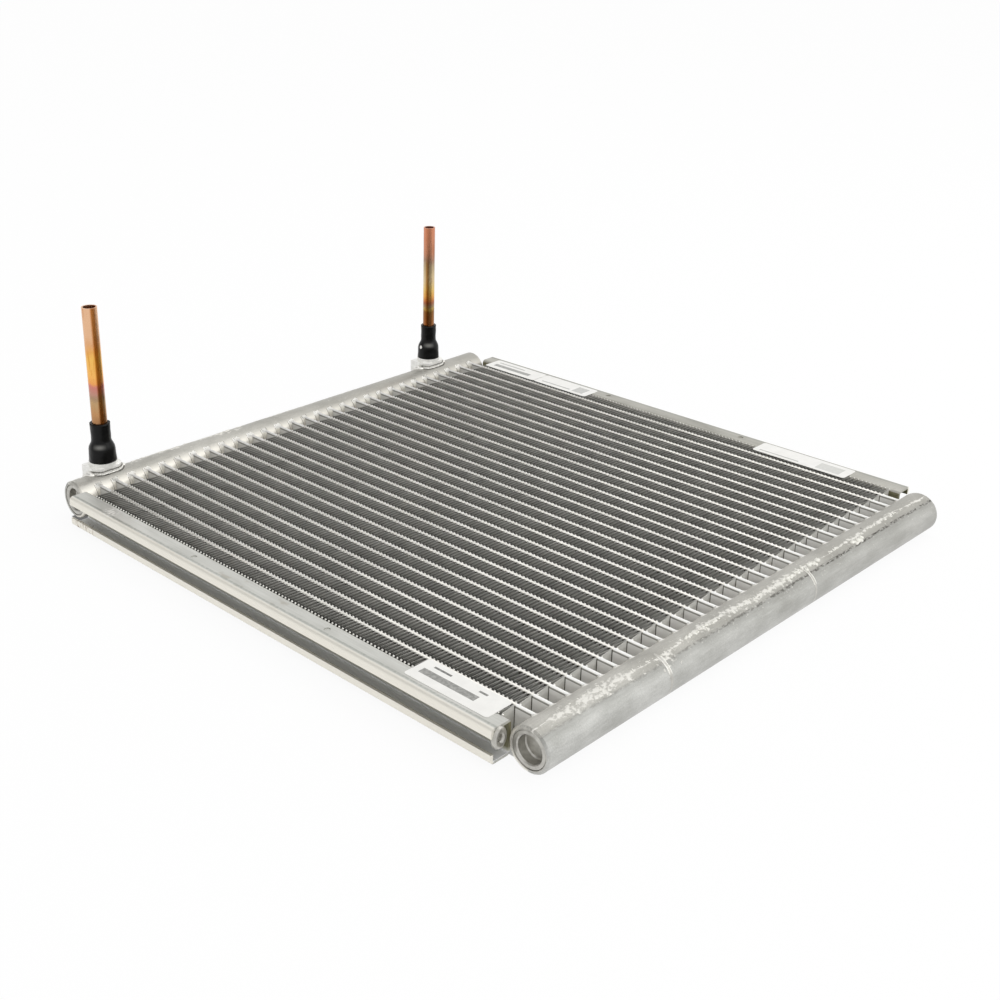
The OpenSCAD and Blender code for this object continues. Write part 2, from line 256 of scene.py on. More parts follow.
def header_skin(tree, y, angle, tone):
    """Colour of a header's skin, with painted light on it: the flank painted paler and cooler than the
    top, a strip of painted shade on the shoulder, a painted highlight between the tube ends, and darker
    towards the rear."""
    # Painted light: the top painted darker and the flank paler and cooler, as they are lit
    above = add(tree, "RAMP", tone, stops=[(0.36, "#a09e97"), (0.5, "#b4b2ab"), (0.64, "#c7c5be")])
    flank = add(tree, "RAMP", tone, stops=[(0.36, "#a3a39e"), (0.5, "#b9b9b5"), (0.64, "#cfcfcb")])
    base = add(tree, "MIX", add(tree, "RANGE", angle, 0.5, 0.66), above, flank)
    # A strip of painted shade along the shoulder
    shoulder = add(tree, "RANGE", off_line(tree, angle, HEADER_SHADE_LINE), 0.05, 0.4, 0.45, 0.0)
    base = add(tree, "MIX", shoulder, base, "#7f7f7a")
    # A painted highlight on the inner side, between the tube ends
    base = add(tree, "MIX", add(tree, "RANGE", angle, -0.95, -0.5, 0.85, 0.0), base, "#f3efe5")
    return add(tree, "MIX", add(tree, "RANGE", y, -150 * MM, 150 * MM, 0.0, 0.35), base, "#8d8a82")


def flux_crust(tree, place, y, off):
    """1 where dried flux lies: in a line 0.1 to 5 mm wide, widest at the front, and in loose flecks on
    both sides of it."""
    lumps = add(tree, "SUBTRACT", grain(tree, place, 1.5, 5.0, (1, 1.5, 1)), 0.5)
    patches = grain(tree, place, 11.0, 3.0, (1, 1.8, 1))
    wide = add(tree, "MULTIPLY", add(tree, "RANGE", patches, 0.4, 0.64, 0.02, 0.3),
               add(tree, "RANGE", y, -60 * MM, 70 * MM, 1.7, 0.5))
    band = add(tree, "SUBTRACT", 1.0, add(tree, "DIVIDE", off, wide))
    crust = add(tree, "RANGE", weighed(tree, (lumps, 5.0), (band, 1.0)), 0.1, 0.8)
    flecks = add(tree, "RANGE", grain(tree, place, 1.1, 4.0, (1, 1.4, 1)), 0.63, 0.72)
    flecks = add(tree, "MULTIPLY", flecks, add(tree, "RANGE", off, 0.35, 1.1, 0.7, 0.05))
    return add(tree, "MAXIMUM", crust, flecks)


def header_pits(tree, place, y, off):
    """1 where the skin is pitted: in a hairline, strongest at the rear, and at one pin hole."""
    pits = add(tree, "MULTIPLY", add(tree, "RANGE", off, 0.03, 0.09, 1.0, 0.0),
               add(tree, "RANGE", grain(tree, place, 0.9, 4.0, (1, 2.5, 1)), 0.42, 0.58))
    pits = add(tree, "MULTIPLY", pits, add(tree, "RANGE", y, -90 * MM, 40 * MM, 0.3, 1.0))
    return add(tree, "MAXIMUM", pits, near(tree, place, PIN_HOLE, 0.4, 0.7))


def furnace_brazed_tube(name, header_x, side, flux_line):
    """Extruded aluminium header after the brazing furnace: satin and finely mottled, with a broken line
    of dried white flux past the top, a pitted line below it, and under that a flank painted paler and
    cooler, as lit."""
    mat, tree, shader, place = start(name)
    streaks = grain(tree, place, 0.8, 3.0, (1, 9, 1))
    clouds = grain(tree, place, 13.0, 4.0, (1, 1.6, 1))
    specks = grain(tree, place, 0.6, 3.0)
    tone = weighed(tree, (streaks, 0.2), (clouds, 0.5), (specks, 0.3))
    x, y, z = add(tree, "AXES", place)
    # Radians past the top, counted outwards, and the lines' wandering
    out = add(tree, "MULTIPLY", add(tree, "SUBTRACT", x, header_x * MM), side)
    angle = add(tree, "ARCTAN2", out, add(tree, "SUBTRACT", z, AXIS_Z * MM))
    wander = add(tree, "RANGE", grain(tree, place, 16.0, 3.0, (1, 2, 1)), 0.3, 0.7, -0.14, 0.14)
    crust = flux_crust(tree, place, y, off_line(tree, add(tree, "ADD", angle, wander), flux_line))
    bent = weighed(tree, (wander, 0.15), (angle, 1.0))
    pits = header_pits(tree, place, y, off_line(tree, bent, PIT_LINE))
    colour = add(tree, "MIX", pits, header_skin(tree, y, angle, tone), "#55534d")
    colour = add(tree, "MIX", crust, colour, "#dfddd6")
    metal = add(tree, "SUBTRACT", 0.62, add(tree, "MULTIPLY", crust, 0.6))
    rough = weighed(tree, (crust, 0.3), (add(tree, "RANGE", specks, 0.3, 0.7, 0.36, 0.5), 1.0))
    fine = add(tree, "BUMP", streaks, 0.2, 0.04 * MM)
    fine = add(tree, "BUMP", specks, 0.5, 0.1 * MM, fine)
    fine = add(tree, "BUMP", add(tree, "SUBTRACT", crust, pits), 0.8, 0.25 * MM, fine)
    wire(tree, shader, Base_Color=colour, Metallic=metal, Roughness=rough, Normal=fine)
    return mat


def rail_lips(tree, colour, x, out, up, blots):
    """Adds a soft grey line of painted shade along the top just before the lip, darker at the left end, a
    painted cream highlight on the lip itself, and a darker line at its foot."""
    # Painted shade: a soft grey line on the bend before the lip, darker at the left end
    bend_shade = add(tree, "RANGE", off_line(tree, out, BEND_SHADE_Y * MM), 0.3 * MM, 0.9 * MM, 0.8, 0.0)
    bend_shade = add(tree, "MULTIPLY", bend_shade, add(tree, "RANGE", blots, 0.35, 0.6, 0.35, 1.0))
    left = add(tree, "RANGE", x, -105 * MM, -60 * MM, 1.0, 0.0)
    colour = add(tree, "MIX", bend_shade, colour, add(tree, "MIX", left, "#969992", "#6f746b"))
    # A painted cream highlight on the lip
    lip = add(tree, "RANGE", out, LIP_Y * MM, (LIP_Y + 0.8) * MM, 0.0, 0.9)
    colour = add(tree, "MIX", lip, colour, "#f2eee3")
    hem = add(tree, "MULTIPLY", lip, add(tree, "LESS_THAN", up, (CORE_LOW + 0.4) * MM))
    return add(tree, "MIX", hem, colour, "#8d8b82")


def rail_blots(tree, colour, place, up, blots):
    """Adds a scratched blot of braze on the flange, and rust rubbed off in streaks on the lower lip."""
    blot = add(tree, "MULTIPLY", near(tree, place, BRAZE_BLOT, 2.0, 6.0),
               add(tree, "RANGE", blots, 0.42, 0.6, 0.0, 0.8))
    colour = add(tree, "MIX", blot, colour, "#f2f1ec")
    streaks = grain(tree, place, 0.9, 2.0, (1, 1, 5))
    rust = add(tree, "MULTIPLY", near(tree, place, RUST_SPOT, 4.0, 11.0),
               add(tree, "RANGE", streaks, 0.56, 0.68))
    rust = add(tree, "MULTIPLY", rust, add(tree, "LESS_THAN", up, (CORE_LOW + LIP_HIGH) * MM))
    return add(tree, "MIX", rust, colour, "#7d6047")


def rolled_aluminium_sheet(name, tones):
    """Rolled and bent rail sheet: faintly lined along its length, with a painted cream highlight on its
    lips, and inside the channel painted pale at the foot and painted olive shade above, with braze stains
    and small brown marks, so that it doesn't read as one flat grey."""
    mat, tree, shader, place = start(name)
    lines = grain(tree, place, 0.8, 3.0, (40, 1, 1))
    clouds = grain(tree, place, 16.0, 4.0, (2.2, 1, 1))
    specks = grain(tree, place, 0.6, 2.0)
    blots = grain(tree, place, 1.2, 4.0, (1, 1.6, 1))
    x, y, up = add(tree, "AXES", place)
    out = add(tree, "ABSOLUTE", y)
    tone = weighed(tree, (lines, 0.3), (clouds, 0.7))
    colour = add(tree, "RAMP", tone, stops=list(zip((0.36, 0.5, 0.64), tones)))
    stain = add(tree, "RANGE", grain(tree, place, 7.0, 4.0, (1.6, 1, 1)), 0.64, 0.74, 0.0, 0.4)
    colour = add(tree, "MIX", stain, colour, "#8b7f68")
    colour = rail_lips(tree, colour, x, out, up, blots)
    # Inside the channel: painted light at the foot and painted olive shade under the upper lip
    inside = add(tree, "MULTIPLY", between(tree, up, CORE_LOW + RAIL_SKIN, CORE_TOP - RAIL_SKIN),
                 add(tree, "LESS_THAN", out, (LIP_Y + 0.7) * MM))
    shade = add(tree, "RAMP", add(tree, "DIVIDE", up, 2 * AXIS_Z * MM), stops=[
        (0.17, "#f2f3f5"), (0.22, "#c9c8bb"), (0.29, "#77745a")])
    colour = rail_blots(tree, add(tree, "MIX", inside, colour, shade), place, up, blots)
    metal = add(tree, "SUBTRACT", 0.5, add(tree, "MULTIPLY", inside, 0.35))
    rough = add(tree, "RANGE", specks, 0.3, 0.7, 0.34, 0.46)
    fine = add(tree, "BUMP", lines, 0.25, 0.04 * MM)
    fine = add(tree, "BUMP", clouds, 0.3, 0.25 * MM, fine)
    fine = add(tree, "BUMP", specks, 0.3, 0.05 * MM, fine)
    wire(tree, shader, Base_Color=colour, Metallic=metal, Roughness=rough, Normal=fine)
    return mat


def bare_aluminium(name, light, dark, metal):
    """Cut or turned aluminium: brighter than the brazed tube, with a fine random tool haze."""
    mat, tree, shader, place = start(name)
    haze = grain(tree, place, 2.5, 4.0)
    specks = grain(tree, place, 0.4, 2.0)
    colour = add(tree, "RAMP", haze, stops=[(0.3, dark), (0.7, light)])
    rough = add(tree, "RANGE", specks, 0.3, 0.7, 0.28, 0.44)
    fine = add(tree, "BUMP", haze, 0.3, 0.15 * MM)
    fine = add(tree, "BUMP", specks, 0.3, 0.05 * MM, fine)
    wire(tree, shader, Base_Color=colour, Metallic=metal, Roughness=rough, Normal=fine)
    return mat


def folded_fin_strip(name, slot, behind, middle, ahead, metal):
    """Thin rolled fin strip, lanced with louvres and dulled in the furnace, with painted shade: dark in
    the slots just behind each tube and paler toward the next tube, and painted light in the last folds.
    The louvres of one fold throw the light up and those of the next hold it back, so neighbouring folds
    are given a painted lit and a painted shaded strip."""
    mat, tree, shader, place = start(name)
    clouds = grain(tree, place, 9.0, 3.0)
    specks = grain(tree, place, 0.9, 2.0)
    x, y, _ = add(tree, "AXES", place)
    across = add(tree, "FRACT", add(tree, "DIVIDE", y, PITCH * MM))
    # Painted shade across the pitch: darkest in the slot just behind a tube, paler toward the next tube
    colour = add(tree, "RAMP", across, stops=[(0.14, slot), (0.23, behind), (0.5, middle), (0.88, ahead)])
    colour = add(tree, "MIX", add(tree, "RANGE", clouds, 0.35, 0.65, 0.22, 0.0), colour, slot)
    # The last folds are painted pale, as lit
    last = add(tree, "RANGE", x, (FIN_X1 - 9.6) * MM, (FIN_X1 - 1.1) * MM, 0.0, 0.8)
    colour = add(tree, "MIX", last, colour, "#d6d5d0")
    # Blender's wave has 20 radians to a unit, and from a ridge to a groove is half a turn
    louvres = add(tree, "STEPS", place, math.pi / 20 / (LOUVRE_GAP * MM), 0.0)
    fine = add(tree, "BUMP", louvres, 0.5, 0.12 * MM)
    rough = add(tree, "RANGE", specks, 0.3, 0.7, 0.36, 0.55)
    wire(tree, shader, Base_Color=colour, Metallic=metal, Roughness=rough, Normal=fine)
    return mat


def extruded_flat_tube():
    """Extruded multi-port tube: a painted highlight along the crown of its round edge, painted shade
    beside it where the fins shade it, and painted pale, as lit, at its bare ends, with small droplets of
    braze."""
    mat, tree, shader, place = start("extruded_flat_tube")
    drops = grain(tree, place, 1.3, 3.0)
    clouds = grain(tree, place, 12.0, 3.0, (3, 1, 1))
    x, _, z = add(tree, "AXES", place)
    height = off_line(tree, z, AXIS_Z * MM)
    crown = add(tree, "RANGE", height, (TUBE_W / 2 - 0.5) * MM, (TUBE_W / 2 - 0.15) * MM)
    bare = add(tree, "MAXIMUM", add(tree, "GREATER_THAN", x, (FIN_X1 - 0.7) * MM),
               add(tree, "LESS_THAN", x, FIN_X0 * MM))
    # Painted highlight on the crown, and painted shade from the fins beside it
    bright = add(tree, "RAMP", clouds, stops=[(0.3, "#d3d1ca"), (0.7, "#e7e5de")])
    dull = add(tree, "RAMP", drops, stops=[(0.3, "#45443e"), (0.7, "#64625b")])
    # Bare ends are painted pale, as lit, with a painted dark line of shade under a painted highlight on
    # their crown
    pale = add(tree, "RAMP", add(tree, "DIVIDE", height, TUBE_W / 2 * MM), stops=[
        (0.82, "#eeedea"), (0.86, "#8b8983"), (0.91, "#8b8983"), (0.95, "#f8f8f5")])
    colour = add(tree, "MIX", bare, add(tree, "MIX", crown, dull, bright), pale)
    metal = add(tree, "SUBTRACT", 0.75, add(tree, "MULTIPLY", bare, 0.75))
    fine = add(tree, "BUMP", drops, 0.35, 0.12 * MM)
    wire(tree, shader, Base_Color=colour, Metallic=metal, Roughness=0.36, Normal=fine)
    return mat


def drawn_copper(name, y, shade_strip_line, strength, fade_z, bands):
    """Drawn copper pipe with the rainbow bands that a brazing flame leaves, given as heights in mm and
    colours, smeared a little round the pipe, scratched along it, and with a strip of painted shade down
    it as the camera sees it, which is as strong as given up to fade_z and weak above it."""
    mat, tree, shader, place = start(name)
    low, high = bands[0][0], bands[-1][0]
    z = add(tree, "AXES", place)["Z"]
    smear = add(tree, "RANGE", grain(tree, place, 6.0, 3.0, (1, 1, 2)), 0.25, 0.75, -1.8 * MM, 1.8 * MM)
    along = add(tree, "RANGE", add(tree, "ADD", z, smear), low * MM, high * MM)
    tint = add(tree, "RAMP", along, stops=[((band - low) / (high - low), code) for band, code in bands])
    off_axis = add(tree, "FROM", place, (PIPE_X * MM, y * MM, 0))
    # A strip of painted shade down the pipe, at a set distance across it as the camera sees it
    off = off_line(tree, add(tree, "ALONG", off_axis, SHADE_STRIP_WAY), shade_strip_line * MM)
    shade_strip = add(tree, "RANGE", off, 0.6 * MM, 1.5 * MM, strength, 0.15 * strength)
    fade = add(tree, "RANGE", z, fade_z * MM, (fade_z + 6) * MM, 1.0, 0.35)
    shade_strip = add(tree, "MULTIPLY", shade_strip, fade)
    scratches = grain(tree, place, 0.35, 3.0, (1, 1, 30))
    smoke = add(tree, "RANGE", grain(tree, place, 1.6, 4.0, (1, 1, 9)), 0.52, 0.72, 0.0, 0.6)
    smoke = add(tree, "MULTIPLY", smoke, add(tree, "RANGE", z, SMOKE_LOW * MM, SMOKE_HIGH * MM))
    dirt = add(tree, "RANGE", grain(tree, place, 1.5, 4.0, (1, 1, 2)), 0.63, 0.72, 0.0, 0.5)
    # Painted shade, flame smoke and dirt all darken the tint
    dark = add(tree, "MAXIMUM", add(tree, "MAXIMUM", shade_strip, smoke), dirt)
    colour = add(tree, "MIX", dark, tint, add(tree, "DEEPEN", 1.0, tint, "#cba067"))
    rough = add(tree, "RANGE", scratches, 0.3, 0.7, 0.2, 0.34)
    fine = add(tree, "BUMP", scratches, 0.3, 0.04 * MM)
    wire(tree, shader, Base_Color=colour, Metallic=1.0, Roughness=rough, Normal=fine)
    return mat


def shrunk_polyolefin():
    """Heat-shrunk polyolefin sleeve: black and matt, with a painted grey sheen on its shoulder where it
    faces the camera, and a white spot on the rear one."""
    mat, tree, shader, place = start("shrunk_polyolefin")
    skin = grain(tree, place, 1.1, 4.0)
    dust = add(tree, "RANGE", grain(tree, place, 0.7, 2.0), 0.68, 0.78, 0.0, 0.3)
    colour = add(tree, "MIX", dust, "#060606", "#5a5954")
    up = add(tree, "AXES", place)["Z"]
    # A painted sheen on the shoulder, on the side that faces the camera
    bend = add(tree, "RANGE", off_line(tree, up, SHOULDER_Z * MM), 0.3 * MM, 1.7 * MM, 0.6, 0.0)
    for y, _ in PIPES.values():
        painted_sheen = near(tree, place, (PIPE_X + 4.2, y - 4.1, SHOULDER_Z), 0.8, 3.8)
        colour = add(tree, "MIX", add(tree, "MULTIPLY", bend, painted_sheen), colour, "#8b8a86")
    colour = add(tree, "MIX", near(tree, place, WHITE_SPOT, 0.95, 1.2), colour, "#eeede8")
    fine = add(tree, "BUMP", skin, 0.35, 0.15 * MM)
    wire(tree, shader, Base_Color=colour, Roughness=0.28, Specular_IOR_Level=0.2, Normal=fine)
    return mat


def coated_label(name, fields):
    """White coated label film with plain grey print fields, slightly worn, and no lettering."""
    mat, tree, shader, place = start(name)
    mottle = grain(tree, place, 5.0, 3.0)
    colour = add(tree, "RAMP", mottle, stops=[(0.3, "#e4e3df"), (0.7, "#ebeae6")])
    wear = add(tree, "RANGE", grain(tree, place, 1.5, 3.0), 0.3, 0.6, 0.75, 1.0)
    for x0, x1, y0, y1, ink in fields:
        mask = add(tree, "MULTIPLY", box_mask(tree, place, x0, x1, y0, y1), wear)
        colour = add(tree, "MIX", mask, colour, ink)
    fine = add(tree, "BUMP", mottle, 0.15, 0.1 * MM)
    wire(tree, shader, Base_Color=colour, Roughness=0.4, Normal=fine)
    return mat


def braze_metal():
    """Solidified braze and weld: bright, smooth and lumpy, where it has flowed into the corners."""
    mat, tree, shader, place = start("braze_metal")
    lumps = grain(tree, place, 1.6, 3.0)
    colour = add(tree, "RAMP", lumps, stops=[(0.3, "#e2e0d9"), (0.7, "#f6f5f0")])
    fine = add(tree, "BUMP", lumps, 0.6, 0.3 * MM)
    wire(tree, shader, Base_Color=colour, Metallic=0.7, Roughness=0.3, Normal=fine)
    return mat


def painted_shade_beads():
    """Painted shade beside the braze: a thin, dark and glassy outline where shade falls."""
    mat, tree, shader, place = start("painted_shade_beads")
    shade_blotches = grain(tree, place, 1.1, 3.0)
    colour = add(tree, "RAMP", shade_blotches, stops=[(0.35, "#3f3d38"), (0.65, "#7c7971")])
    fine = add(tree, "BUMP", shade_blotches, 0.6, 0.2 * MM)
    wire(tree, shader, Base_Color=colour, Roughness=0.45, Normal=fine)
    return mat


def dried_flux():
    """Dried flux: a chalky white crust with no shine."""
    mat, tree, shader, place = start("dried_flux")
    chalk = grain(tree, place, 0.9, 4.0)
    colour = add(tree, "RAMP", chalk, stops=[(0.3, "#d9d7cd"), (0.7, "#f0efe8")])
    fine = add(tree, "BUMP", chalk, 0.7, 0.25 * MM)
    wire(tree, shader, Base_Color=colour, Roughness=0.75, Normal=fine)
    return mat


def as_mesh(bm, name):
    """Keeps a bmesh as a mesh."""
    mesh = bpy.data.meshes.new(name)
    bm.to_mesh(mesh)
    bm.free()
    return mesh


def bring_in(name, data):
    """A new object in the scene, with its mesh, lamp or camera."""
    thing = bpy.data.objects.new(name, data)
    bpy.context.scene.collection.objects.link(thing)
    return thing


def settle(name, bm, *materials, node=None):
    """Turns a bmesh in millimetres into a piece that rides on the coil and may stand for a CAD node."""
    bmesh.ops.scale(bm, vec=(MM, MM, MM), verts=bm.verts)
    piece = bring_in(name, as_mesh(bm, name))
    for mat in materials:
        piece.data.materials.append(mat)
    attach(piece, "root")
    if node:
        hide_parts(node)
    return piece


def smooth(bm):
    """Shades every face smooth."""
    for face in bm.faces:
        face.smooth = True


def add_mesh(bm, mesh):
    """Joins a mesh to bm, and returns its new vertices."""
    known = len(bm.verts)
    bm.from_mesh(mesh)
    bm.verts.ensure_lookup_table()
    return bm.verts[known:]


def picked(grown, kind):
    """The vertices or the edges among what an extrusion has made."""
    return [item for item in grown if isinstance(item, kind)]


def edges_of(verts):
    """The edges that some vertices carry."""
    return list({edge for vert in verts for edge in vert.link_edges})


def facing_circle(bm, segments, radius, filled=False):
    """The vertices of a circle round the origin that faces along X."""
    ring = bmesh.ops.create_circle(bm, cap_ends=filled, segments=segments, radius=radius)["verts"]
    bmesh.ops.rotate(bm, cent=(0, 0, 0), matrix=Matrix.Rotation(math.radians(90), 3, "Y"), verts=ring)
    return ring


def tube_outline(bm, segments, filled=False):
    """The vertices of a flat tube's outline at x = 0 and y = 0, with full round edges."""
    ring = facing_circle(bm, segments, TUBE_T / 2, filled)
    for vert in ring:
        vert.co.z += math.copysign(TUBE_W / 2 - TUBE_T / 2, vert.co.z) + AXIS_Z
    return ring


def tube_y(k):
    """Middle of the flat tube with the number k."""
    return (k - (TUBE_COUNT + 1) / 2) * PITCH


def fin_ribbon():
    """Folded strip from x = FIN_X0, between y = 0 and y = FIN_H, in three heights so that its top can
    bend, with a bead of braze on each crest."""
    bm = bmesh.new()
    wave = (FIN_X1 - FIN_X0) / FIN_WAVES
    reach = FIN_H - FIN_SHEET / 2
    bend = 0.3
    fold = [(0, FIN_SHEET / 2), (0.11, bend), (0.39, reach - bend), (0.5, reach), (0.61, reach - bend),
            (0.89, bend), (1, FIN_SHEET / 2)]
    verts = [bm.verts.new((FIN_X0 + share * wave, y, CORE_LOW)) for share, y in fold]
    edges = [bm.edges.new(pair) for pair in zip(verts, verts[1:])]
    bmesh.ops.spin(bm, geom=verts + edges, cent=(0, 0, 0), axis=(0, 0, 1), dvec=(wave, 0, 0), angle=0,
                   steps=FIN_WAVES - 1, use_duplicate=True)
    bmesh.ops.remove_doubles(bm, verts=bm.verts, dist=0.001)
    rising = bm.edges[:]
    for rise in (FIN_STILL, FIN_BENT, TUBE_W - FIN_STILL - FIN_BENT):
        grown = bmesh.ops.extrude_edge_only(bm, edges=rising)["geom"]
        bmesh.ops.translate(bm, vec=(0, 0, rise), verts=picked(grown, bmesh.types.BMVert))
        rising = picked(grown, bmesh.types.BMEdge)
    bmesh.ops.recalc_face_normals(bm, faces=bm.faces)
    bmesh.ops.solidify(bm, geom=bm.faces[:], thickness=FIN_SHEET)
    # Neighbouring legs take painted light and painted shade in turn, the crests take braze, and the last
    # leg takes painted light
    for face in bm.faces:
        middle = face.calc_center_median()
        leg = int((middle.x - FIN_X0) / (wave / 2))
        face.material_index = SHADED_SLOT if leg % 2 else LIT_SLOT
        if abs(middle.y - FIN_H / 2) > FIN_H / 2 - bend:
            face.material_index = BRAZE_SLOT
        if leg >= 2 * FIN_WAVES - 1:
            face.material_index = LIT_END_SLOT
    for i in range(2 * FIN_WAVES + 1):
        y = 0.15 if i % 2 == 0 else FIN_H + 0.35
        bead = bmesh.ops.create_icosphere(bm, subdivisions=1, radius=CREST_BEAD)["verts"]
        bmesh.ops.scale(bm, vec=(1.05, 1.2 if i % 2 == 0 else 0.65, 1.0), verts=bead)
        bmesh.ops.translate(bm, vec=(FIN_X0 + i * wave / 2, y, CORE_TOP - CREST_BEAD), verts=bead)
        for face in {face for vert in bead for face in vert.link_faces}:
            face.material_index = BRAZE_SLOT
            face.smooth = True
    return as_mesh(bm, "fin_ribbon")


def flat_tube():
    """Flat tube with full round edges, along X with its middle at y = 0."""
    bm = bmesh.new()
    bmesh.ops.translate(bm, vec=(-TUBE_HALF, 0, 0), verts=tube_outline(bm, 20, filled=True))
    grown = bmesh.ops.extrude_face_region(bm, geom=bm.faces[:])["geom"]
    bmesh.ops.translate(bm, vec=(2 * TUBE_HALF, 0, 0), verts=picked(grown, bmesh.types.BMVert))
    bmesh.ops.recalc_face_normals(bm, faces=bm.faces)
    for face in bm.faces:
        face.material_index = TUBE_SLOT
        face.smooth = abs(face.normal.x) < 0.9
    return as_mesh(bm, "flat_tube")


def knock(verts, rng, y_shift):
    """Moves a ribbon to its place, gives its folds small errors and bends those at the dents."""
    half_wave = (FIN_X1 - FIN_X0) / FIN_WAVES / 2
    jitter = [rng.gauss(0, 0.05) for _ in range(2 * FIN_WAVES + 3)]
    for vert in verts:
        rise = max(0.0, (vert.co.z - CORE_LOW - FIN_STILL) / (TUBE_W - FIN_STILL))
        mid = 1 - abs(vert.co.y / FIN_H * 2 - 1)
        vert.co.y += y_shift
        push = jitter[int((vert.co.x - FIN_X0) / half_wave) + 1] * rise
        for x, y, reach_x, reach_y, amount in DENTS:
            far = ((vert.co.x - x) / reach_x) ** 2 + ((vert.co.y - y) / reach_y) ** 2
            if far < 6:
                push += amount * math.exp(-far) * rise * rise * (0.45 + mid)
        vert.co.x += push
        vert.co.z -= 0.25 * abs(push) * rise


def finned_tubes():
    """One piece for each finned tube: the tube with the fin ribbon behind it, and the first also with the
    ribbon in front of it."""
    rng = random.Random(7)
    ribbon, tube = fin_ribbon(), flat_tube()
    for k in range(1, TUBE_COUNT + 1):
        y = tube_y(k)
        bm = bmesh.new()
        bmesh.ops.translate(bm, vec=(0, y, 0), verts=add_mesh(bm, tube))
        knock(add_mesh(bm, ribbon), rng, y + TUBE_T / 2)
        if k == 1:
            knock(add_mesh(bm, ribbon), rng, y - TUBE_T / 2 - FIN_H)
        name = f"finned_tube_{k:02d}"
        piece = settle(f"tube_and_fins_{k:02d}", bm, TUBE, FIN_LIT, FIN_SHADED, FIN_LIT_END, BRAZE, node=name)


def tube_rings(bm, y):
    """Three rings round the tube at y, all in one place and joined by faces."""
    rings = [tube_outline(bm, 28)]
    bmesh.ops.translate(bm, vec=(0, y, 0), verts=rings[0])
    edges = edges_of(rings[0])
    for _ in range(2):
        grown = bmesh.ops.extrude_edge_only(bm, edges=edges)["geom"]
        rings.append(picked(grown, bmesh.types.BMVert))
        edges = picked(grown, bmesh.types.BMEdge)
    return rings


def braze_fillets(name, side):
    """Braze drawn into the corner between each flat tube and the header, uneven from tube to tube."""
    rng = random.Random(11 + side)
    bm = bmesh.new()
    for k in range(1, TUBE_COUNT + 1):
        y = tube_y(k)
        wide, long = rng.uniform(0.4, 0.7), rng.uniform(0.6, 1.1)
        if side < 0:
            wide, long = PORT_WIDER * wide, PORT_LONGER * long
        # The first ring lies on the header, the second in the corner and the last on the tube
        for step, verts in enumerate(tube_rings(bm, y)):
            for vert in verts:
                core = max(-TUBE_W / 2 + 1, min(TUBE_W / 2 - 1, vert.co.z - AXIS_Z))
                away = Vector((0, vert.co.y - y, vert.co.z - AXIS_Z - core)).normalized()
                lump = 1 + 0.35 * noise.noise(vert.co * 0.4 + Vector((k, 0, 0)))
                out = (wide * lump, 0.25 * wide, 0.02)[step]
                # At the port header it spreads at the tube's sides, the more the lower down
                if side < 0:
                    out *= max(0.2, abs(away.y)) ** 1.5 * (1 + 0.3 * min(4, max(0, CORE_TOP - vert.co.z)))
                vert.co += away * out
                drop = min(abs(vert.co.z - AXIS_Z), HEADER_R - 0.02)
                wall = HEADER_X - math.sqrt(HEADER_R ** 2 - drop ** 2)
                vert.co.x = side * (wall - (-0.05, 0.3, 1.0)[step] * long * (1 if step else 0.4) * lump)
    bmesh.ops.recalc_face_normals(bm, faces=bm.faces)
    smooth(bm)
    return settle(name, bm, BRAZE)


def header_arc(bm, side, y, radius, turns, thick):
    """Thin bead round a header at y, between two angles in degrees from the top, counted outwards."""
    dot = facing_circle(bm, 6, thick)
    bmesh.ops.translate(bm, vec=(0, y, radius), verts=dot)
    first, last = (math.radians(turn * side) for turn in turns)
    bmesh.ops.rotate(bm, cent=(0, 0, 0), matrix=Matrix.Rotation(first, 3, "Y"), verts=dot)
    edges = edges_of(dot)
    known = set(bm.verts) - set(dot)
    steps = max(6, round(abs(turns[1] - turns[0]) / 5))
    bmesh.ops.spin(bm, geom=dot + edges, cent=(0, 0, 0), axis=(0, 1, 0), angle=last - first, steps=steps)
    arc = [vert for vert in bm.verts if vert not in known]
    bmesh.ops.translate(bm, vec=(side * HEADER_X, 0, AXIS_Z), verts=arc)


def fillet_shade_outlines():
    """Dark beads of painted shade on both sides of each braze fillet at the port header."""
    bm = bmesh.new()
    for k in range(1, TUBE_COUNT + 1):
        y = tube_y(k)
        header_arc(bm, -1, y - 2.35, HEADER_R, (-38, -80), 0.1)
        header_arc(bm, -1, y - 1.35, HEADER_R + 0.3, (-36, -48), 0.1)
        header_arc(bm, -1, y + 1.9, HEADER_R, (-34, -52), 0.1)
    bmesh.ops.recalc_face_normals(bm, faces=bm.faces)
    return settle("port_header_painted_shade_beads", bm, SHADE_BEADS)


def separator_seams():
    """Two thin seams of braze where each separator comes through the return header's outer side."""
    bm = bmesh.new()
    for y in SEPARATOR_Y:
        for edge in (-0.8, 0.8):
            header_arc(bm, 1, y + edge, HEADER_R, (14, 64), 0.18)
    bmesh.ops.recalc_face_normals(bm, faces=bm.faces)
    return settle("return_header_seams", bm, BRAZE)


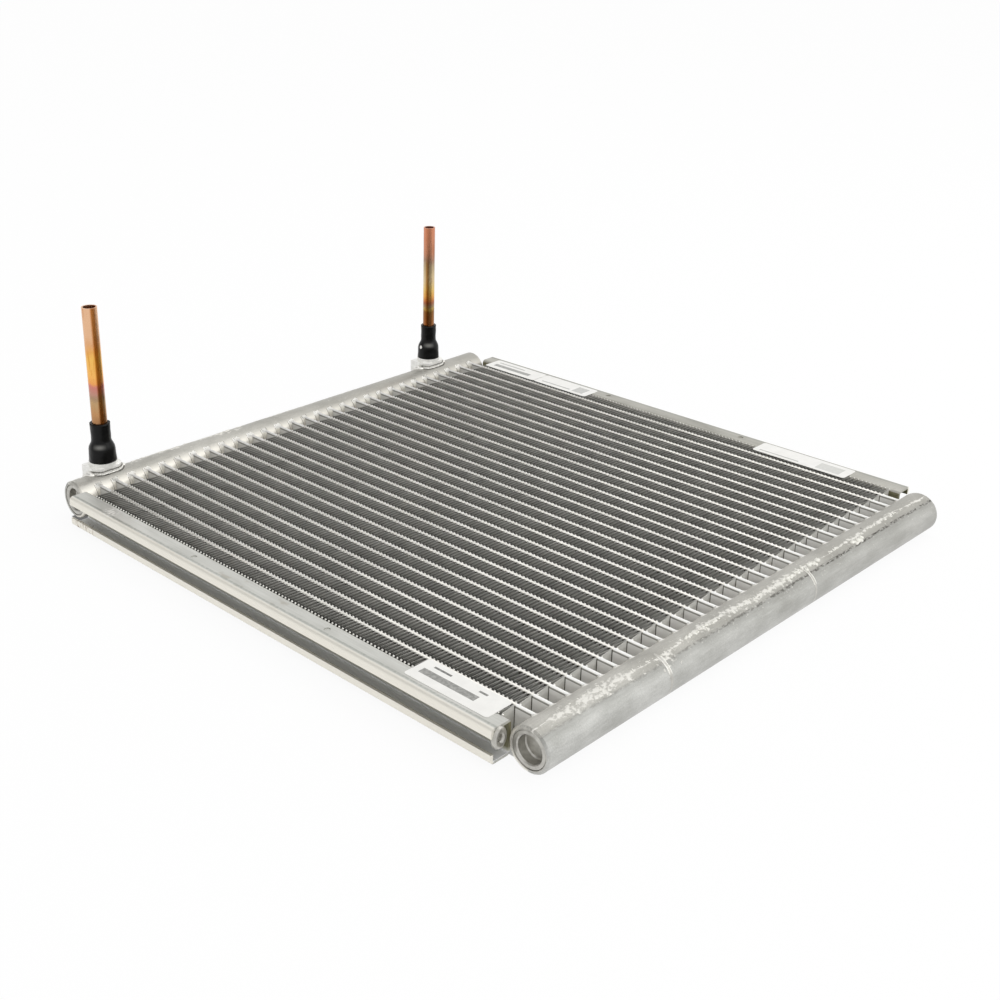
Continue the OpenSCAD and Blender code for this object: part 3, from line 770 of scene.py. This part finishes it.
def shrunk_sleeve(end):
    """Sleeve shrunk over the step of the joint: rounded shoulder, uneven skin and a ragged upper rim."""
    y, pipe_od = PIPES[end]
    rng = random.Random(len(end))
    low = pipe_od / 2 + 0.05 + JOINT_WALL + SLEEVE_WALL
    high = pipe_od / 2 + 0.05 + SLEEVE_WALL
    outline = [(low - SLEEVE_WALL, COLLAR_TOP + 0.05), (low + 0.3, COLLAR_TOP + 0.05),
               (low + 0.15, SHOULDER_Z - 6.0), (low, SHOULDER_Z - 2.5), (low - 0.25, SHOULDER_Z - 1.0),
               (low - 0.9, SHOULDER_Z + 0.4), (high + 0.25, SHOULDER_Z + 1.6), (high, SHOULDER_Z + 2.6),
               (high, SHOULDER_Z + 7.0), (high + 0.05, SLEEVE_TOP - 1.2), (high + 0.12, SLEEVE_TOP - 0.3),
               (high - 0.3, SLEEVE_TOP), (high - SLEEVE_WALL, SLEEVE_TOP - 0.4)]
    bm = bmesh.new()
    verts = [bm.verts.new((radius, 0, z)) for radius, z in outline]
    edges = [bm.edges.new(pair) for pair in zip(verts, verts[1:])]
    bmesh.ops.spin(bm, geom=verts + edges, cent=(0, 0, 0), axis=(0, 0, 1), angle=math.tau, steps=72,
                   use_merge=True)
    bmesh.ops.remove_doubles(bm, verts=bm.verts, dist=0.0005)
    bmesh.ops.subdivide_edges(bm, edges=[e for e in bm.edges if e.calc_length() > 2.2], cuts=2)
    phase = Vector((rng.uniform(0, 9), rng.uniform(0, 9), 0))
    for vert in bm.verts:
        flat = Vector((vert.co.x, vert.co.y, 0))
        radius = flat.length
        if radius > high - SLEEVE_WALL / 2:
            vert.co += flat / radius * 0.16 * noise.noise(vert.co * 0.32 + phase)
        if vert.co.z > SLEEVE_TOP - 0.6 and radius > high - 0.5:
            vert.co.z -= 0.55 * abs(noise.noise(Vector((vert.co.x, vert.co.y, 0)) * 0.5 + phase))
        vert.co += Vector((PIPE_X, y, 0))
    bmesh.ops.recalc_face_normals(bm, faces=bm.faces)
    smooth(bm)
    settle(f"{end}_shrunk_sleeve", bm, SLEEVE, node=f"{end}_sleeve")


def weld_bead(bm, path, size, rng):
    """Lumpy bead along a path of points, laid as overlapping drops."""
    for start_point, end_point in zip(path, path[1:]):
        a, b = Vector(start_point), Vector(end_point)
        count = max(1, round((b - a).length / (size * 0.8)))
        for i in range(count):
            drop = size * rng.uniform(0.8, 1.25)
            ball = bmesh.ops.create_icosphere(bm, subdivisions=2, radius=drop)["verts"]
            shape = (rng.uniform(0.9, 1.3), rng.uniform(0.9, 1.3), rng.uniform(0.55, 0.85))
            bmesh.ops.scale(bm, vec=shape, verts=ball)
            bmesh.ops.translate(bm, vec=a.lerp(b, (i + 0.5) / count), verts=ball)


def on_header(x):
    """Height of the port header's skin at x."""
    return AXIS_Z + math.sqrt(HEADER_R ** 2 - min(abs(x + HEADER_X), HEADER_R - 0.5) ** 2)


def block_foot(y, inner):
    """Points round the foot of the connection block at y, open on its outer side."""
    run = [(inner - WELD_RUN, BLOCK_L / 2)]
    for i in range(9):
        turn = math.radians(90 * i / 8)
        run.append((inner - BLOCK_R * (1 - math.sin(turn)), BLOCK_L / 2 - BLOCK_R * (1 - math.cos(turn))))
    return [(x, y - away) for x, away in run] + [(x, y + away) for x, away in reversed(run)]


def block_welds(end):
    """Weld round the foot of the connection block, heaped where it started and ended, and two thin dark
    beads of painted shade beside it."""
    y, _ = PIPES[end]
    rng = random.Random(3 + len(end))
    inner = PIPE_X + BLOCK_W / 2
    foot = block_foot(y, inner)
    bm = bmesh.new()
    weld_bead(bm, [(x, v, on_header(x) + 0.1) for x, v in foot], 0.85, rng)
    for sign, size in ((-1, 1.9), (1, 1.5)):
        heap = [(inner - back, y + sign * away) for back, away in ((10.0, 9.6), (6.0, 10.2), (3.0, 9.6))]
        weld_bead(bm, [(x, v, on_header(x) + 0.3) for x, v in heap], size, rng)
    smooth(bm)
    settle(f"{end}_block_weld", bm, BRAZE)
    # Two thin dark beads of painted shade beside the weld
    bm = bmesh.new()
    for lift, away, size in ((1.45, 0.15, 0.36), (0.1, 1.25, 0.26)):
        middle = Vector((inner - 6.0, y, 0))
        path = []
        for x, v in foot:
            out = (Vector((x, v, 0)) - middle).normalized() * away
            path.append((x + out.x, v + out.y, on_header(x + out.x) + lift))
        weld_bead(bm, path, size, rng)
    smooth(bm)
    return settle(f"{end}_block_painted_shade_beads", bm, SHADE_BEADS)


def cap_rings():
    """Braze drawn into the joint round each end plug."""
    bm = bmesh.new()
    for side in (-1, 1):
        for end in (-1, 1):
            dot = facing_circle(bm, 8, 0.24)
            bmesh.ops.scale(bm, vec=(1, 0.7, 1), verts=dot)
            bmesh.ops.translate(bm, vec=(0, end * (HEADER_HALF - 0.1), BORE_R), verts=dot)
            edges = edges_of(dot)
            bmesh.ops.spin(bm, geom=dot + edges, cent=(0, 0, 0), axis=(0, 1, 0), angle=math.tau,
                           steps=48, use_merge=True)
            turned = {v for v in bm.verts if abs(v.co.x) < 2 * HEADER_R}
            bmesh.ops.translate(bm, vec=(side * HEADER_X, 0, AXIS_Z), verts=list(turned))
    bmesh.ops.remove_doubles(bm, verts=bm.verts, dist=0.001)
    for vert in bm.verts:
        vert.co.y += 0.08 * noise.noise(vert.co * 0.5)
    bmesh.ops.recalc_face_normals(bm, faces=bm.faces)
    smooth(bm)
    return settle("cap_braze_rings", bm, TURNED)


def rail_end():
    """Rounded lobe with an oval hollow, where the front rail's upper lip is pressed together at its right
    end."""
    bm = bmesh.new()
    dot = bmesh.ops.create_circle(bm, segments=14, radius=LOBE_R)["verts"]
    bmesh.ops.translate(bm, vec=(0, LOBE_REACH, 0), verts=dot)
    edges = edges_of(dot)
    bmesh.ops.spin(bm, geom=dot + edges, cent=(0, 0, 0), axis=(1, 0, 0), angle=math.tau, steps=36,
                   use_merge=True)
    bmesh.ops.remove_doubles(bm, verts=bm.verts, dist=0.001)
    bmesh.ops.translate(bm, vec=(-0.5, 0, 0), verts=facing_circle(bm, 28, LOBE_REACH + 0.1, filled=True))
    bmesh.ops.scale(bm, vec=(1, 1, 1.33), verts=bm.verts)
    bmesh.ops.translate(bm, vec=LOBE_AT, verts=bm.verts)
    bmesh.ops.recalc_face_normals(bm, faces=bm.faces)
    smooth(bm)
    return settle("front_rail_end", bm, TURNED)


def flux_crumbs(name, side, clusters):
    """Chalky crumbs of flux standing on a header, in clusters along its flux line."""
    rng = random.Random(5)
    bm = bmesh.new()
    for y, turn, reach_y, reach_turn, count, size in clusters:
        for _ in range(count):
            place_y = rng.gauss(y, reach_y / 2)
            place_turn = side * math.radians(rng.gauss(turn, reach_turn / 2))
            radius = size * rng.uniform(0.4, 1.2)
            ball = bmesh.ops.create_icosphere(bm, subdivisions=1, radius=radius)["verts"]
            for vert in ball:
                vert.co *= 1 + 0.5 * noise.noise(vert.co * 1.7 + Vector((place_y, 0, 0)))
            bmesh.ops.scale(bm, vec=(1.0, rng.uniform(1.0, 2.0), 0.3), verts=ball)
            bmesh.ops.translate(bm, vec=(0, 0, HEADER_R), verts=ball)
            bmesh.ops.rotate(bm, cent=(0, 0, 0), matrix=Matrix.Rotation(place_turn, 3, "Y"), verts=ball)
            bmesh.ops.translate(bm, vec=(side * HEADER_X, place_y, AXIS_Z), verts=ball)
    smooth(bm)
    return settle(name, bm, FLUX)


HEADERS = {"port_header": furnace_brazed_tube("furnace_brazed_port_tube", -HEADER_X, -1, 0.38),
           "return_header": furnace_brazed_tube("furnace_brazed_return_tube", HEADER_X, 1, 0.17)}
RAILS = {"front_rail": rolled_aluminium_sheet("front_rail_sheet", ("#b2b2ac", "#c1c1bb", "#cfcfca")),
         "rear_rail": rolled_aluminium_sheet("rear_rail_sheet", ("#95938a", "#a9a79e", "#b9b7af"))}
TURNED = bare_aluminium("turned_aluminium", "#c9c7c1", "#aaa8a1", 0.85)
BLOCK = bare_aluminium("milled_aluminium", "#fbfaf7", "#e6e5e0", 0.3)
# Fin strips with painted light and painted shade: lit and shaded for neighbouring folds, and lit for the
# last fold
FIN_LIT = folded_fin_strip("painted_lit_fin_strip", "#454440", "#cac8c1", "#dedcd6", "#efede8", 0.8)
FIN_SHADED = folded_fin_strip("painted_shaded_fin_strip", "#2b2a27", "#74736d", "#a3a29c", "#c6c4be", 0.8)
FIN_LIT_END = folded_fin_strip("painted_lit_fin_end", "#cbcac5", "#d4d3cf", "#dddcd8", "#dddcd8", 0.3)
TUBE = extruded_flat_tube()
BRAZE = braze_metal()
FLUX = dried_flux()
SHADE_BEADS = painted_shade_beads()
SLEEVE = shrunk_polyolefin()
COPPER = {
    "front_copper_pipe": drawn_copper("front_drawn_copper", PIPES["front"][0], 2.2, 1.0, 110.0, [
        (46.0, "#a67c58"), (52.0, "#c5976a"), (57.0, "#c4a47a"), (59.5, "#b09478"), (62.0, "#c49687"),
        (66.5, "#d58b82"), (68.5, "#f4ae68"), (73.0, "#fcc26c"), (81.0, "#fac96c"), (85.5, "#efb468"),
        (89.5, "#e8b486"), (94.0, "#ecc09a"), (106.0, "#edc29e")]),
    "rear_copper_pipe": drawn_copper("rear_drawn_copper", PIPES["rear"][0], -1.1, 0.9, 86.0, [
        (46.0, "#a06c44"), (55.5, "#92693f"), (57.6, "#bca35e"), (59.5, "#a28d70"), (61.5, "#a86f57"),
        (63.0, "#c68352"), (66.0, "#e4b064"), (70.0, "#e5c87e"), (76.0, "#dcc9a2"), (81.0, "#c8b692"),
        (85.0, "#bba88a"), (88.5, "#ac8c78"), (93.0, "#c58d71"), (104.0, "#d28e6e")]),
}
LABELS = {
    "front_label": coated_label("front_label_film", [
        (99.5, 109.0, -144.4, -143.2, "#5d5d5a"), (97.0, 127.0, -150.8, -147.0, "#83837f"),
        (124.0, 128.5, -144.6, -143.4, "#6d6d69")]),
    "rear_label": coated_label("rear_label_film", [
        (64.0, 88.0, 146.0, 147.2, "#b3b3ae"), (98.0, 112.0, 146.0, 154.0, "#c9c9c4")]),
    "outer_left_label": coated_label("outer_left_label_film", [
        (-133.0, -104.0, 146.0, 149.5, "#8d8d89"), (-133.0, -112.0, 152.0, 153.2, "#a8a8a4")]),
    "inner_left_label": coated_label("inner_left_label_film", [
        (-92.0, -70.0, 145.5, 146.7, "#a8a8a4"), (-68.0, -60.0, 145.0, 153.5, "#b9b9b5")]),
}

FINISH = {**HEADERS, **RAILS, **COPPER, **LABELS}
for node_name, node in NODES.items():
    if node_name.startswith("finned_tube") or node_name.endswith("_sleeve"):
        continue
    finish = FINISH.get(node_name, BLOCK if "block" in node_name or "joint" in node_name else TURNED)
    node.data.materials.clear()
    node.data.materials.append(finish)

finned_tubes()
braze_fillets("port_header_braze", -1)
braze_fillets("return_header_braze", 1)
for pipe_end in PIPES:
    shrunk_sleeve(pipe_end)
    block_welds(pipe_end)
flux_crumbs("port_header_flux", -1, PORT_CLUSTERS)
flux_crumbs("return_header_flux", 1, RETURN_CLUSTERS)
fillet_shade_outlines()
separator_seams()
cap_rings()
rail_end()


def white_room():
    """White room with a dim corner behind the camera's left shoulder."""
    bpy.context.scene.view_settings.view_transform = "Standard"
    world = bpy.data.worlds.new("studio")
    bpy.context.scene.world = world
    world.use_nodes = True
    tree = world.node_tree
    back = tree.nodes["Background"]
    path = add(tree, "PATH")
    seen = add(tree, "MAXIMUM", path["Is Camera Ray"], path["Is Transmission Ray"])
    dim = add(tree, "ALONG", add(tree, "WAY"), Vector(DIM_CORNER).normalized())
    room = add(tree, "RANGE", dim, 0.8, 0.98, ROOM_LEVEL, 0.3 * ROOM_LEVEL)
    join(tree, back.inputs["Strength"], add(tree, "MAXIMUM", seen, room))
    join(tree, back.inputs["Color"], "#ffffff")


def white_floor():
    """Floor that takes a faint shadow, a deeper one under the coil itself, and a painted shadow where the
    header and the rail's left end come together.
    """
    bm = bmesh.new()
    bmesh.ops.create_grid(bm, x_segments=1, y_segments=1, size=4.0)
    floor = bring_in("floor", as_mesh(bm, "floor"))
    mat, tree, shader, place = start("matt_white_floor")
    glow = add(tree, "GLOW", "#ffffff", 1.0)
    path = add(tree, "PATH")
    seen = add(tree, "MAXIMUM", path["Is Camera Ray"], path["Is Glossy Ray"])
    seen = add(tree, "MAXIMUM", seen, path["Is Transmission Ray"])
    under = box_mask(tree, place, -HEADER_X - 12, HEADER_X - 8, 2 - CORE_HALF, CORE_HALF)
    # The floor is painted near black, as shadow, where the header and the rail's left end come together
    corner = box_mask(tree, place, -HEADER_X - 3, -HEADER_X + 11, -CORE_HALF - 3, 8 - CORE_HALF)
    under = add(tree, "MAXIMUM", under, corner)
    wire(tree, shader, Base_Color=add(tree, "MIX", corner, "#f2f2f2", "#1d1d1b"), Roughness=0.9,
         Specular_IOR_Level=0.0)
    share = add(tree, "MULTIPLY", seen, add(tree, "RANGE", under, 0.0, 1.0, 0.92, 0.15))
    both = add(tree, "SHARE", share, shader.outputs[0], glow)
    join(tree, tree.nodes["Material Output"].inputs["Surface"], both)
    floor.data.materials.append(mat)


def lamp(name, place, size, power):
    """Square lamp that looks at the coil, with its place and size in metres and its power in watts."""
    light = bpy.data.lights.new(name, "AREA")
    light.size = size
    light.energy = power
    holder = bring_in(name, light)
    holder.location = place
    holder.rotation_euler = (Vector((0, 0, 0.02)) - Vector(place)).to_track_quat("-Z", "Y").to_euler()


def camera():
    """Camera at the photograph's own viewing angle."""
    lens = bpy.data.cameras.new("camera")
    lens.sensor_width = 36.0
    lens.lens = FOCAL_PX / 1000 * lens.sensor_width
    lens.shift_x = (500 - MIDDLE_PX[0]) / 1000
    lens.shift_y = (MIDDLE_PX[1] - 500) / 1000
    holder = bring_in("camera", lens)
    azimuth, elevation = (math.radians(angle) for angle in CAMERA_WAY)
    look = Vector((-math.sin(azimuth) * math.cos(elevation),
                   math.cos(azimuth) * math.cos(elevation), -math.sin(elevation)))
    holder.location = CAMERA_AT
    holder.rotation_euler = look.to_track_quat("-Z", "Y").to_euler()
    bpy.context.scene.camera = holder


white_room()
white_floor()
lamp("side_lamp", (1.3, 0.7, 0.9), 1.4, 6.0)
lamp("top_lamp", (0.1, 0.5, 1.6), 1.6, 4.0)
camera()
